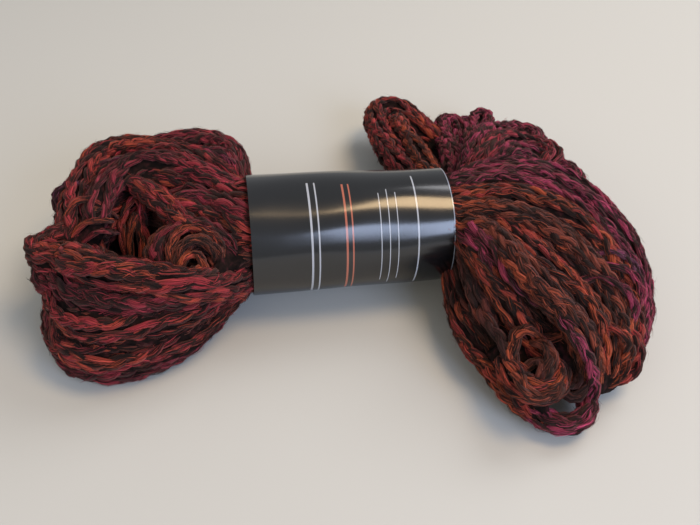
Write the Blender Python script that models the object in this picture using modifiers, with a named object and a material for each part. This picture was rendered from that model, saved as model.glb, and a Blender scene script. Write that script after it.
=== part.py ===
"""A hank of bulky chain yarn: one wound skein, gathered at its waist by a paper band.

The skein is a loop of many turns. The band squeezes its middle, so that it opens on the left
into a bun of rings around a hollow, and on the right into a fan of loops that bend to the front.
Metres, +Z up, the band along X. The origin is under the middle of the whole, on the surface.
"""

import math

import bmesh
import bpy
from mathutils import Matrix, Vector

MM = 0.001

# Driving dimensions.
BAND_LENGTH = 0.070
BAND_RADIUS_LEFT = 0.0215
BAND_RADIUS_RIGHT = 0.0203
BAND_WALL = 0.001
BAND_LAP = 0.0004
BAND_LAP_ANGLE = math.radians(38)
BAND_HEIGHT = 0.027
BAND_SIDES = 64
CLEARANCE = 0.0003
WAIST_SLACK = 0.0006
WAIST_LENGTH = 0.079
# How far the yarn stays clear round the outside of the band.
BAND_ROOM = 0.0015

# The middle of the band over the surface. It puts the origin under the middle of the whole.
WAIST = Vector((0.0014, -0.0094, BAND_HEIGHT))
# The hollow of the left bun, and the place where the right fan leaves the band, from the waist.
HOLLOW = Vector((-0.070, -0.002, 0.0))
MOUTH_RIGHT = Vector((0.041, 0.0, 0.0))
MOUTH_LEFT_OUT = 0.028
# Every rope runs on into the band, to this far from the band's middle, and draws in there.
INSIDE_BAND = 0.029
DRAW_IN = 0.8
SOFTENING_PASSES = 3
# A round that comes this close to a whole turn, in turns, runs into the band at MOUTH_LEFT.
MOUTH_TURN = 0.15
MOUTH_LEFT = -0.037
# The rounds enter on a ring. The one at the height MOUTH_FIRST, in millimetres, enters at its
# bottom. Higher ones follow up the front and the back, by so many degrees for each millimetre.
MOUTH_RING = 0.0135
MOUTH_FIRST = 5.0
FRONT_SWEEP = 1.9
BACK_SWEEP = 3.9

VOXEL = 0.0016
SMOOTHING_PASSES = 2
TRIANGLES = 11000
SURFACE_BLOCK = (0.5, 0.5, 0.04)

# A round of the left bun, in millimetres and turns. A turn runs from the band through the front
# (0.25), the left (0.5) and the back (0.75). "out" is the distance from the hollow, and "up" the
# height of the middle over the surface. Round the turn "poke_at" the rope pokes out by "poke".
BUN_COLUMNS = (
    "name", "front_out", "front_up", "left_out", "left_up", "back_out", "back_up",
    "thick", "start", "end", "poke", "poke_at", "poke_width",
)
BUN_ROPES = (
    ("foot", 30, 5, 26, 5, 42, 5, 11, 0.10, 0.90, 15, 0.36, 0.09),
    ("low", 34, 14, 28, 13, 44, 14, 11, 0.10, 0.90, 13, 0.36, 0.09),
    ("middle", 34.5, 25, 29, 21, 44, 24, 11, 0.10, 0.90, 8, 0.36, 0.09),
    ("front_high", 28, 31, 28, 27, 34, 24, 11, 0.10, 0.58, 6, 0.36, 0.09),
    ("front_rope", 30.5, 41, 22, 32, 20, 30, 12, 0.31, 0.56, 13.5, 0.465, 0.04),
    ("second_tip", 33, 30, 29, 22, 30, 20, 10, 0.20, 0.64, 8, 0.46, 0.045),
    ("back_high", 40, 30, 27, 28, 43, 31, 11, 0.49, 0.90, 0, 0.66, 0.07),
    ("top_arch", 34, 22, 25, 33, 39, 39, 12, 0.44, 0.90, 9, 0.693, 0.035),
    ("back_lobe", 34, 22, 24, 34, 47, 34, 12, 0.73, 0.92, 13, 0.832, 0.05),
    ("top_inner", 30, 20, 17, 36, 26, 43, 11, 0.46, 0.93, 0, 0.5, 0.05),
    ("inner_wall", 22, 27, 20, 27, 20, 30, 12, 0.10, 0.80, 0, 0.5, 0.05),
)

# A rope of the right fan, in millimetres and degrees, measured from the middle of the band over
# the surface. It leaves the band "across" and "up" from the axis with "heading", and ends at
# "tip_x", "tip_y" with "tip_heading". "full" is how far it bows. It rises to "crest" at the share
# "crest_at" of its run and comes down to "tip_up". Then it turns on by "hook" with "hook_radius"
# and runs "back" straight on.
FAN_COLUMNS = (
    "name", "across", "up", "heading", "tip_x", "tip_y", "tip_heading", "full",
    "crest", "crest_at", "tip_up", "thick", "hook", "hook_radius", "back",
)
FAN_ROPES = (
    ("ear", 8, -6, 108, 27, 92.5, 82, 0.36, 19, 0.5, 16, 12, -150, 6.5, 34),
    ("ear_inner", 7, -3, 92, 34, 88, 92, 0.38, 23, 0.5, 19, 10, 0, 1, 0),
    ("knob_long", 9, -3, 70, 55, 82, 84, 0.40, 22, 0.5, 14, 10, -190, 5, 24),
    ("knob_small", 9, -3, 57, 74, 93, 66, 0.40, 20, 0.5, 12, 7, -190, 3.5, 24),
    ("arch", 9, 0, 50, 82, 64, 22, 0.40, 33, 0.5, 22, 11, -165, 7, 22),
    ("arch_inner", 9, 3, 40, 87, 48, -8, 0.42, 34, 0.5, 25, 11, -140, 7, 14),
    ("arch_outer", 9, 1, 36, 95, 36, -25, 0.45, 31, 0.5, 21, 12, -130, 7, 10),
    ("rim_low", 7, -8, 30, 94, -46, -118, 0.64, 14, 0.5, 7, 13, -45, 8, 0),
    ("front_loop", -5, 8, -112, 70, -67, -62, 0.42, 39, 0.33, 7, 8, -190, 10, 12),
    ("curl", -8, 6, -108, 59, -65, -68, 0.40, 35, 0.33, 17, 10, -195, 7.6, 14),
    ("front", -10, 2, -95, 47, -52, -60, 0.40, 29, 0.4, 13, 11, 0, 1, 0),
    ("under_outer", -12, -9, -122, 55, -79, -52, 0.38, 14, 0.3, 6.5, 10, 0, 1, 0),
    ("under_inner", -8, -6, -72, 55, -66, -62, 0.36, 18, 0.3, 8, 12, 0, 1, 0),
)
HOOK_STEP = 15
BACK_STEP = 2

# The ropes that sweep from the band over the crown of the fan, and those of the bun that don't run
# round its hollow: two bridge from its top to the band, one runs from the band to its front tip,
# and two make the small swirl beside the band. Each passes five places, in millimetres from the
# middle of the band over the surface.
SWEPT_COLUMNS = ("name", "first", "second", "third", "fourth", "fifth", "thick")
SWEPT_ROPES = (
    ("bridge_low", (-79, 21, 40), (-67, 9, 40), (-57, -3, 37), (-47, -12, 35), (-30, -12, 31), 9),
    ("bridge_high", (-72, 20, 41), (-58, 17, 40), (-47, 7, 37), (-41, -6, 36), (-30, -9, 34), 9),
    ("front_run", (-30, -13, 20), (-38, -17, 22), (-51, -30, 32), (-64, -32, 37.5), (-82, -28, 40.5), 12),
    ("swirl_wide", (-66, -25, 33), (-65, -13, 36), (-54, -5, 37), (-43, -13, 36), (-38, -22, 32), 7),
    ("swirl_small", (-60, -27, 34), (-59, -19, 37), (-53, -13, 38), (-47, -18, 37), (-45, -26, 33), 7),
    ("rim_outer", (30, 6, 30), (60, 18, 37), (88, 7, 34), (102, -17, 23), (101, -40, 9), 10.5),
    ("rim", (30, 4, 32), (60, 11, 39), (86, -2, 36), (100, -28, 23), (97, -50, 8), 10.5),
    ("rim_inner", (30, 3, 33), (57, 4, 41), (82, -13, 37), (97, -36, 22), (92, -57, 7), 10.5),
    ("crown_outer", (30, -1, 34), (56, -7, 43), (79, -22, 39), (92, -43, 22), (87, -61, 7), 10.5),
    ("crown", (30, -4, 34), (52, -16, 43), (73, -31, 38), (86, -50, 21), (82, -65, 7), 10.5),
    ("crown_inner", (30, -7, 34), (46, -13, 39), (60, -34, 37), (76, -55, 25), (78, -69, 7), 10.5),
    ("valley", (30, -10, 33), (43, -20, 40), (52, -41, 39), (66, -60, 28), (73, -71, 8), 10.5),
)
# The share of its thickness that a rope has at its first and last few points.
ROUNDED_END = (0.6, 0.88, 1.0)

# What lies under the ropes that show, as rounded lumps, in millimetres from the waist.
CORE_COLUMNS = ("name", "x", "y", "up", "half_x", "half_y", "half_up")
CORES = (
    ("under_bun", -71, -2, 9, 32, 40, 13),
    ("bun_front", -76, -24, 16, 26, 20, 18),
    ("bun_back", -66, 24, 16, 26, 20, 16),
    ("swirl", -52, -8, 20, 15, 16, 12),
    ("swirl_eye", -53, -21, 24, 9, 8, 10),
    ("bun_mouth", -44, 0, 24, 14, 20, 15),
    ("fan_mouth", 44, 0, 25, 14, 18, 16),
    ("fan_root", 58, -6, 18, 28, 26, 17),
    ("fan_outer", 80, -16, 13, 22, 34, 15),
    ("fan_front", 62, -42, 13, 22, 26, 15),
    ("fan_tips", 76, -58, 9, 13, 13, 10),
    ("arch_root", 70, 30, 14, 26, 28, 17),
    ("knob_root", 60, 54, 9, 13, 22, 10),
    ("ear_root", 38, 58, 9, 11, 32, 10),
)


def rows(columns, table):
    """The rows of a table as dictionaries."""
    return [dict(zip(columns, row)) for row in table]


def clear_scene():
    for obj in list(bpy.data.objects):
        bpy.data.objects.remove(obj)


def collection(name):
    made = bpy.data.collections.new(name)
    bpy.context.scene.collection.children.link(made)
    return made


def material(name, colour, roughness):
    made = bpy.data.materials.new(name)
    made.use_nodes = True
    shader = made.node_tree.nodes["Principled BSDF"]
    shader.inputs["Base Color"].default_value = (*colour, 1.0)
    shader.inputs["Roughness"].default_value = roughness
    shader.inputs["Metallic"].default_value = 0.0
    return made


def smooth_step(share):
    share = max(0.0, min(1.0, share))
    return share * share * (3.0 - 2.0 * share)


def through(a, b, c, d, share):
    """A smooth curve from b to c, which knows the places before and after them."""
    return 0.5 * (
        2.0 * b
        + (c - a) * share
        + (2.0 * a - 5.0 * b + 4.0 * c - d) * share**2
        + (3.0 * b - 3.0 * c + d - a) * share**3
    )


def round_value(front, left, back, mouth, turn):
    """A smooth value around the bun through its four stations."""
    stations = (mouth, front, left, back)
    place = (turn % 1.0) * 4.0
    i = int(place)
    return through(*(stations[(i + k) % 4] for k in (-1, 0, 1, 2)), place - i)


def softened(points):
    """The same line with its corners eased and its two ends kept."""
    for _ in range(SOFTENING_PASSES):
        eased = [(a + 2.0 * b + c) / 4.0 for a, b, c in zip(points, points[1:], points[2:])]
        points = [points[0], *eased, points[-1]]
    return points


def mouth_place(x, up, sweep, side):
    """A point on the ring where a rope of the bun, at the height "up" beside it, enters the band."""
    angle = math.radians(sweep * (up - MOUTH_FIRST))
    return Vector((x, side * MOUTH_RING * math.sin(angle), BAND_HEIGHT - MOUTH_RING * math.cos(angle)))


def bun_route(rope, steps=36):
    """The middle line of a rope of the left bun. An end near the band runs on into it."""
    front, back = (
        [mouth_place(x, rope[up], sweep, side) for x in (-INSIDE_BAND, MOUTH_LEFT)]
        for up, sweep, side in (("front_up", FRONT_SWEEP, -1), ("back_up", BACK_SWEEP, 1))
    )
    points = []
    for k in range(steps + 1):
        turn = rope["start"] + (rope["end"] - rope["start"]) * k / steps
        poke = rope["poke"] * math.exp(-(((turn - rope["poke_at"]) / rope["poke_width"]) ** 2))
        out = poke + round_value(
            rope["front_out"], rope["left_out"], rope["back_out"], MOUTH_LEFT_OUT / MM, turn
        )
        mouth_up = (front if turn < 0.5 else back)[0].z / MM
        up = round_value(rope["front_up"], rope["left_up"], rope["back_up"], mouth_up, turn)
        angle = -math.tau * turn
        points.append(HOLLOW + Vector((out * math.cos(angle), out * math.sin(angle), up)) * MM)
    if rope["start"] < MOUTH_TURN:
        points = front + points
    if rope["end"] > 1.0 - MOUTH_TURN:
        points = points + back[::-1]
    return softened(points)


def fan_route(rope, steps=28):
    """The middle line of a rope of the right fan: a Bezier curve in plan, then its hook."""
    start = Vector((MOUTH_RIGHT.x / MM, rope["across"]))
    tip = Vector((rope["tip_x"], rope["tip_y"]))
    reach = rope["full"] * (tip - start).length
    heading, turned = math.radians(rope["heading"]), math.radians(rope["tip_heading"])
    ahead = start + reach * Vector((math.cos(heading), math.sin(heading)))
    behind = tip - reach * Vector((math.cos(turned), math.sin(turned)))
    low = BAND_HEIGHT / MM + rope["up"]
    drawn_in = BAND_HEIGHT / MM + DRAW_IN * rope["up"]
    points = [Vector((INSIDE_BAND / MM, DRAW_IN * rope["across"], drawn_in)) * MM]
    for k in range(steps + 1):
        t = k / steps
        s = 1.0 - t
        plan = s**3 * start + 3 * s * s * t * ahead + 3 * s * t * t * behind + t**3 * tip
        if t < rope["crest_at"]:
            up = low + (rope["crest"] - low) * smooth_step(t / rope["crest_at"])
        else:
            fall = smooth_step((t - rope["crest_at"]) / (1.0 - rope["crest_at"]))
            up = rope["crest"] + (rope["tip_up"] - rope["crest"]) * fall
        points.append(Vector((plan.x, plan.y, up)) * MM)
    stride = rope["hook_radius"] * math.radians(HOOK_STEP)
    for _ in range(int(abs(rope["hook"]) / HOOK_STEP)):
        turned += math.radians(math.copysign(HOOK_STEP, rope["hook"]))
        tip += stride * Vector((math.cos(turned), math.sin(turned)))
        points.append(Vector((tip.x, tip.y, rope["tip_up"])) * MM)
    for _ in range(int(rope["back"] / BACK_STEP)):
        tip += BACK_STEP * Vector((math.cos(turned), math.sin(turned)))
        points.append(Vector((tip.x, tip.y, rope["tip_up"])) * MM)
    return softened(points)


def swept_route(rope, steps=12):
    """A smooth line through the five places of a row."""
    places = [Vector(rope[key]) * MM for key in ("first", "second", "third", "fourth", "fifth")]
    places = [2 * places[0] - places[1], *places, 2 * places[-1] - places[-2]]
    points = [
        through(*places[i : i + 4], k / steps) for i in range(len(places) - 3) for k in range(steps)
    ]
    return [*points, places[-2]]


def rope_mesh(name, points, thick):
    """A rope as a tube along its middle line, rounded at both ends, as a closed mesh."""
    curve = bpy.data.curves.new(name, "CURVE")
    curve.dimensions = "3D"
    curve.bevel_depth = thick * MM / 2.0
    curve.bevel_resolution = 3
    curve.use_fill_caps = True
    spline = curve.splines.new("POLY")
    spline.points.add(len(points) - 1)
    for k, (point, place) in enumerate(zip(spline.points, points)):
        from_end = min(k, len(points) - 1 - k)
        point.co = (*place, 1.0)
        point.radius = ROUNDED_END[min(from_end, len(ROUNDED_END) - 1)]
    tube = bpy.data.objects.new(name, curve)
    bpy.context.scene.collection.objects.link(tube)
    graph = bpy.context.evaluated_depsgraph_get()
    mesh = bpy.data.meshes.new_from_object(tube.evaluated_get(graph))
    bpy.data.objects.remove(tube)
    return mesh


def lump_mesh(name, centre, half):
    """A rounded lump of yarn that lies under the ropes."""
    shape = bmesh.new()
    bmesh.ops.create_uvsphere(shape, u_segments=32, v_segments=16, radius=1.0)
    bmesh.ops.scale(shape, vec=half, verts=shape.verts)
    bmesh.ops.translate(shape, vec=centre, verts=shape.verts)
    mesh = bpy.data.meshes.new(name)
    shape.to_mesh(mesh)
    shape.free()
    return mesh


def waist_mesh():
    """The gathered turns inside the band, a little longer than it."""
    shape = bmesh.new()
    bmesh.ops.create_cone(
        shape,
        cap_ends=True,
        segments=48,
        radius1=BAND_RADIUS_LEFT - BAND_WALL - WAIST_SLACK,
        radius2=BAND_RADIUS_RIGHT - BAND_WALL - WAIST_SLACK,
        depth=WAIST_LENGTH,
        matrix=Matrix.Translation((0, 0, BAND_HEIGHT)) @ Matrix.Rotation(math.pi / 2, 4, "Y"),
    )
    mesh = bpy.data.meshes.new("waist")
    shape.to_mesh(mesh)
    shape.free()
    return mesh


def applied(obj):
    """The object's mesh with its modifiers applied."""
    graph = bpy.context.evaluated_depsgraph_get()
    mesh = bpy.data.meshes.new_from_object(obj.evaluated_get(graph))
    obj.modifiers.clear()
    obj.data = mesh
    return mesh


def keep_outer_shell(mesh):
    """Removes every loose piece but the largest, such as the walls of sealed pockets."""
    shape = bmesh.new()
    shape.from_mesh(mesh)
    shape.verts.ensure_lookup_table()
    left = set(shape.verts)
    shells = []
    while left:
        found = {left.pop()}
        edge = list(found)
        while edge:
            vert = edge.pop()
            for link in vert.link_edges:
                other = link.other_vert(vert)
                if other in left:
                    left.remove(other)
                    found.add(other)
                    edge.append(other)
        shells.append(found)
    shells.sort(key=len, reverse=True)
    spare = [vert for shell in shells[1:] for vert in shell]
    bmesh.ops.delete(shape, geom=spare, context="VERTS")
    shape.to_mesh(mesh)
    shape.free()


def band_cutter(cutters):
    """The room of the band: a thick ring just longer and wider than it, and open to the waist."""
    ring = bpy.data.meshes.new("band_room")
    shape = bmesh.new()
    inner_left = BAND_RADIUS_LEFT - BAND_WALL - CLEARANCE
    inner_right = BAND_RADIUS_RIGHT - BAND_WALL - CLEARANCE
    outer = BAND_RADIUS_LEFT + BAND_ROOM
    half = BAND_LENGTH / 2.0 + CLEARANCE
    corners = ((-half, inner_left), (half, inner_right), (half, outer), (-half, outer))
    loop = [shape.verts.new((x, 0.0, r)) for x, r in corners]
    edges = [shape.edges.new((loop[k], loop[(k + 1) % 4])) for k in range(4)]
    bmesh.ops.spin(
        shape,
        geom=loop + edges,
        axis=(1, 0, 0),
        cent=(0, 0, 0),
        angle=math.tau,
        steps=BAND_SIDES,
        use_merge=True,
    )
    bmesh.ops.recalc_face_normals(shape, faces=shape.faces)
    shape.to_mesh(ring)
    shape.free()
    cutter = bpy.data.objects.new("band_room", ring)
    cutter.location = WAIST
    cutters.objects.link(cutter)
    cutter.hide_render = True
    cutter.display_type = "WIRE"
    return cutter


def surface_cutter(cutters):
    """All that is below the surface, so that the hank lies flat on it."""
    mesh = bpy.data.meshes.new("below_surface")
    shape = bmesh.new()
    bmesh.ops.create_cube(shape, size=1.0)
    bmesh.ops.scale(shape, vec=SURFACE_BLOCK, verts=shape.verts)
    bmesh.ops.translate(shape, vec=(0.0, 0.0, -SURFACE_BLOCK[2] / 2.0), verts=shape.verts)
    shape.to_mesh(mesh)
    shape.free()
    cutter = bpy.data.objects.new("below_surface", mesh)
    cutters.objects.link(cutter)
    cutter.hide_render = True
    cutter.display_type = "WIRE"
    return cutter


def build_hank(home, cutters):
    """Ropes and lumps, melted into one body, then cut free of the band and of the surface."""
    meshes = [waist_mesh()]
    for columns, table, route in (
        (BUN_COLUMNS, BUN_ROPES, bun_route),
        (FAN_COLUMNS, FAN_ROPES, fan_route),
        (SWEPT_COLUMNS, SWEPT_ROPES, swept_route),
    ):
        for rope in rows(columns, table):
            meshes.append(rope_mesh(rope["name"], route(rope), rope["thick"]))
    for core in rows(CORE_COLUMNS, CORES):
        centre = Vector((core["x"], core["y"], core["up"])) * MM
        half = Vector((core["half_x"], core["half_y"], core["half_up"])) * MM
        meshes.append(lump_mesh(core["name"], centre, half))
    joined = bmesh.new()
    for mesh in meshes:
        joined.from_mesh(mesh)
    bmesh.ops.remove_doubles(joined, verts=joined.verts, dist=0.00001)
    bmesh.ops.translate(joined, vec=(WAIST.x, WAIST.y, 0.0), verts=joined.verts)
    mesh = bpy.data.meshes.new("hank")
    joined.to_mesh(mesh)
    joined.free()

    hank = bpy.data.objects.new("hank", mesh)
    home.objects.link(hank)
    melt = hank.modifiers.new("melt", "REMESH")
    melt.mode = "VOXEL"
    melt.voxel_size = VOXEL
    keep_outer_shell(applied(hank))
    soften = hank.modifiers.new("soften", "SMOOTH")
    soften.factor = 0.5
    soften.iterations = SMOOTHING_PASSES
    hank.data.calc_loop_triangles()
    thin = hank.modifiers.new("thin", "DECIMATE")
    thin.ratio = TRIANGLES / len(hank.data.loop_triangles)
    for cutter in (band_cutter(cutters), surface_cutter(cutters)):
        cut = hank.modifiers.new(cutter.name, "BOOLEAN")
        cut.operation = "DIFFERENCE"
        cut.solver = "EXACT"
        cut.object = cutter
    hank.data.materials.append(material("chain_yarn", (0.13, 0.035, 0.035), 0.95))
    hank.data.shade_smooth()
    return hank


def circle_spline(curve, radii):
    """A closed outline around the band's axis through (angle, radius) pairs."""
    spline = curve.splines.new("POLY")
    spline.points.add(len(radii) - 1)
    for point, (angle, radius) in zip(spline.points, radii):
        point.co = (radius * math.cos(angle), radius * math.sin(angle), 0.0, 1.0)
    spline.use_cyclic_u = True


def build_band(home):
    """The paper band: a slightly tapered tube whose glued lap stands out a little underneath."""
    middle = (BAND_RADIUS_LEFT + BAND_RADIUS_RIGHT) / 2.0
    lap_start = -math.pi / 2.0 - BAND_LAP_ANGLE / 2.0
    outer = [(lap_start, middle)]
    for k in range(BAND_SIDES + 1):
        turned = math.tau * k / BAND_SIDES
        lifted = BAND_LAP if turned < BAND_LAP_ANGLE else 0.0
        outer.append((lap_start + turned, middle + lifted))
    outer.pop()
    inner = [(math.tau * k / BAND_SIDES, middle - BAND_WALL) for k in range(BAND_SIDES)]
    curve = bpy.data.curves.new("band", "CURVE")
    curve.dimensions = "2D"
    curve.fill_mode = "BOTH"
    curve.extrude = BAND_LENGTH / 2.0
    circle_spline(curve, outer)
    circle_spline(curve, inner)
    outline = bpy.data.objects.new("band_outline", curve)
    bpy.context.scene.collection.objects.link(outline)
    graph = bpy.context.evaluated_depsgraph_get()
    mesh = bpy.data.meshes.new_from_object(outline.evaluated_get(graph))
    bpy.data.objects.remove(outline)
    mesh.name = "band"
    shape = bmesh.new()
    shape.from_mesh(mesh)
    bmesh.ops.remove_doubles(shape, verts=shape.verts, dist=0.00001)
    for vert in shape.verts:
        wanted = BAND_RADIUS_RIGHT if vert.co.z > 0.0 else BAND_RADIUS_LEFT
        grow = (wanted - middle) / Vector((vert.co.x, vert.co.y)).length
        vert.co.x *= 1.0 + grow
        vert.co.y *= 1.0 + grow
    # The tube runs along its own Z. A quarter turn about Y lays it along X.
    turn = Matrix.Rotation(math.pi / 2.0, 4, "Y") @ Matrix.Rotation(math.pi / 2.0, 4, "Z")
    bmesh.ops.transform(shape, matrix=turn, verts=shape.verts)
    bmesh.ops.recalc_face_normals(shape, faces=shape.faces)
    shape.to_mesh(mesh)
    shape.free()
    band = bpy.data.objects.new("band", mesh)
    band.location = WAIST
    band.data.materials.append(material("coated_paper", (0.009, 0.010, 0.012), 0.32))
    band.data.shade_smooth()
    band.data.set_sharp_from_angle(angle=math.radians(30))
    home.objects.link(band)
    return band


clear_scene()
parts = collection("hank_of_yarn")
cutters = collection("cutters")
build_band(parts)
build_hank(parts, cutters)
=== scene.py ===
# %% [markdown]
# # A hank of thick chain yarn with a paper band
#
# The real thing is one long wool-blend yarn, wound into a loop of many turns and gathered at its
# waist by a black paper band. The model has four finishes: the yarn, the darkness between its
# turns, the loose fibres that stand off it, and the coated paper of the band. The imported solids
# come first, because every turn of yarn is laid on their ropes.

# %% Load the frame
import math

import bmesh
import bpy
import numpy as np
from mathutils import Matrix, Quaternion, Vector
from mathutils.bvhtree import BVHTree


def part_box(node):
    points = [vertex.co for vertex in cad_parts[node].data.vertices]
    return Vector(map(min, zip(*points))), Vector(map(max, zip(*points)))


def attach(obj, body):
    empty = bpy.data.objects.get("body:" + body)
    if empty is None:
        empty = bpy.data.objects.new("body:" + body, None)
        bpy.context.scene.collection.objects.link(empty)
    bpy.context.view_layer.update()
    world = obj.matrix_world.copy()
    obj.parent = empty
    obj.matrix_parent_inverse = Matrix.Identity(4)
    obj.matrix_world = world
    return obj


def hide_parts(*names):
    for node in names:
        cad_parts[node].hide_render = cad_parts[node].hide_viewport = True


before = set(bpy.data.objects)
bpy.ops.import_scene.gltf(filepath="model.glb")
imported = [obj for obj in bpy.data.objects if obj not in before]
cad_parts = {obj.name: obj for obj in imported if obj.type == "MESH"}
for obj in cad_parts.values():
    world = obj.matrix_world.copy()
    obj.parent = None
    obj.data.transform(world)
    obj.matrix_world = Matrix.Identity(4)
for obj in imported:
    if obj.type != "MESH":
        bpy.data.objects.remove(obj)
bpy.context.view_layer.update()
MM = 0.001

# %% [markdown]
# ## Small helpers
#
# Colours are written as the sRGB hex values that a painter reads off a screen, and one function
# turns them into Blender's linear numbers. Another function adds a shader node with its settings,
# its links and, on a colour ramp, its stops. The nodes could be placed by hand in the shader editor,
# but in code each material below reads as a list of what it is made of.

# %% Helpers for colours, materials and objects
def linear(hex_colour):
    """An sRGB hex colour as linear red, green and blue."""
    values = [int(hex_colour[i : i + 2], 16) / 255 for i in (1, 3, 5)]
    return np.array([v / 12.92 if v <= 0.04045 else ((v + 0.055) / 1.055) ** 2.4 for v in values])


def rgba(hex_colour):
    return (*linear(hex_colour), 1.0)


def new_material(name, settings):
    """A material and its own Principled shader, on whose sockets the settings are set."""
    made = bpy.data.materials.new(name)
    made.use_nodes = True
    shader = made.node_tree.nodes["Principled BSDF"]
    for key, value in settings.items():
        shader.inputs[key].default_value = value
    return made, shader


def new_object(name, data):
    """An object of a mesh, lamp or camera, in the scene."""
    made = bpy.data.objects.new(name, data)
    bpy.context.scene.collection.objects.link(made)
    return made


def add(tree, kind, settings=None, stops=(), **inputs):
    """Adds a node. Inputs are values, or sockets of other nodes to link from.

    An input goes by its name, or by i and its number where several share one name. The stops of a
    colour ramp are (place, hex colour) pairs.
    """
    node = tree.nodes.new(kind)
    for key, value in (settings or {}).items():
        setattr(node, key, value)
    for _ in stops[2:]:
        node.color_ramp.elements.new(0.5)
    for i, (place, colour) in enumerate(stops):
        node.color_ramp.elements[i].position = place
        node.color_ramp.elements[i].color = rgba(colour)
    for key, value in inputs.items():
        numbered = key[0] == "i" and key[1:].isdigit()
        socket = node.inputs[int(key[1:]) if numbered else key.replace("_", " ")]
        if isinstance(value, bpy.types.NodeSocket):
            tree.links.new(value, socket)
        else:
            socket.default_value = value
    return node


def deselect():
    bpy.ops.object.select_all(action="DESELECT")


# %% [markdown]
# ## The band's place
#
# Everything is measured from the middle of the band, as a winder would measure from the waist of
# the hank. That place could be typed in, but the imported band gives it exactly, and its length too.

# %% Measure the band
band_low, band_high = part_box("band")
BAND_LENGTH = band_high.x - band_low.x
BAND_HEIGHT = (band_low.z + band_high.z) / 2.0
WAIST = Vector(((band_low.x + band_high.x) / 2.0, (band_low.y + band_high.y) / 2.0, 0.0))
BAND_RADIUS_LEFT = 0.0215
BAND_RADIUS_RIGHT = 0.0203
print("band:", round(BAND_LENGTH / MM, 1), "mm long, its middle at", [round(v / MM, 1) for v in WAIST])

# %% [markdown]
# ## The ropes of the hank
#
# The turns of a hank lie in ropes of a few yarns each. The left side is a bun: its ropes run round
# a hollow. The right side is a fan: its ropes leave the band, rise, bow to the right and come down
# at the front. They could be drawn as curves by hand, but would soon part from the solids, so three
# tables repeat the solids' own ropes, and every yarn has a solid under it. They add the shade of
# each rope, because such a yarn changes its dye slowly along its length.

# %% The hollow and the mouths of the band
# All in millimetres from the waist. The hollow of the bun lies here, in plan.
HOLLOW = np.array((-70.0, -2.0))
# The ropes pass the left mouth this far from the hollow, which is this far along, and leave the
# right mouth here. They end this far inside the band.
MOUTH_LEFT_OUT = 28.0
MOUTH_LEFT = -37.0
MOUTH_RIGHT = 41.0
INSIDE_BAND = 29.0
# The rounds of the bun enter the band on a ring, the lowest at its bottom, and higher ones further
# up the front and the back, by so many degrees for each millimetre.
MOUTH_RING = 13.5
MOUTH_FIRST = 5.0
FRONT_SWEEP = 1.9
BACK_SWEEP = 3.9
# A rope that starts or ends within this part of a turn runs on into the band.
MOUTH_TURN = 0.15
# Inside the band, a rope of the fan keeps this share of its distance from the axis.
DRAW_IN = 0.8
print("hollow:", HOLLOW, "mm from the waist")

# %% The ropes of the bun
# Millimetres and turns. A turn runs from the band through the front (0.25), the left (0.5) and the
# back (0.75). "out" is from the hollow, and "up" from the surface. Round "poke_at" it pokes out.
BUN_COLUMNS = (
    "name", "front_out", "front_up", "left_out", "left_up", "back_out", "back_up",
    "thick", "start", "end", "poke", "poke_at", "poke_width", "shade",
)
BUN_ROPES = (
    ("foot", 30, 5, 26, 5, 42, 5, 11, 0.10, 0.90, 15, 0.36, 0.09, "wine"),
    ("low", 34, 14, 28, 13, 44, 14, 11, 0.10, 0.90, 13, 0.36, 0.09, "crimson"),
    ("middle", 34.5, 25, 29, 21, 44, 24, 11, 0.10, 0.90, 8, 0.36, 0.09, "crimson"),
    ("front_high", 28, 31, 28, 27, 34, 24, 11, 0.10, 0.58, 6, 0.36, 0.09, "wine"),
    ("front_rope", 30.5, 41, 22, 32, 20, 30, 12, 0.31, 0.56, 13.5, 0.465, 0.04, "crimson"),
    ("second_tip", 33, 30, 29, 22, 30, 20, 10, 0.20, 0.64, 8, 0.46, 0.045, "wine"),
    ("back_high", 40, 30, 27, 28, 43, 31, 11, 0.49, 0.90, 0, 0.66, 0.07, "wine"),
    ("top_arch", 34, 22, 25, 33, 39, 39, 12, 0.44, 0.90, 9, 0.693, 0.035, "crimson"),
    ("back_lobe", 34, 22, 24, 34, 47, 34, 12, 0.73, 0.92, 13, 0.832, 0.05, "wine"),
    ("top_inner", 30, 20, 17, 36, 26, 43, 11, 0.46, 0.93, 0, 0.5, 0.05, "wine"),
    ("inner_wall", 22, 27, 20, 27, 20, 30, 12, 0.10, 0.80, 0, 0.5, 0.05, "crimson"),
)
print("ropes of the bun:", len(BUN_ROPES))

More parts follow.
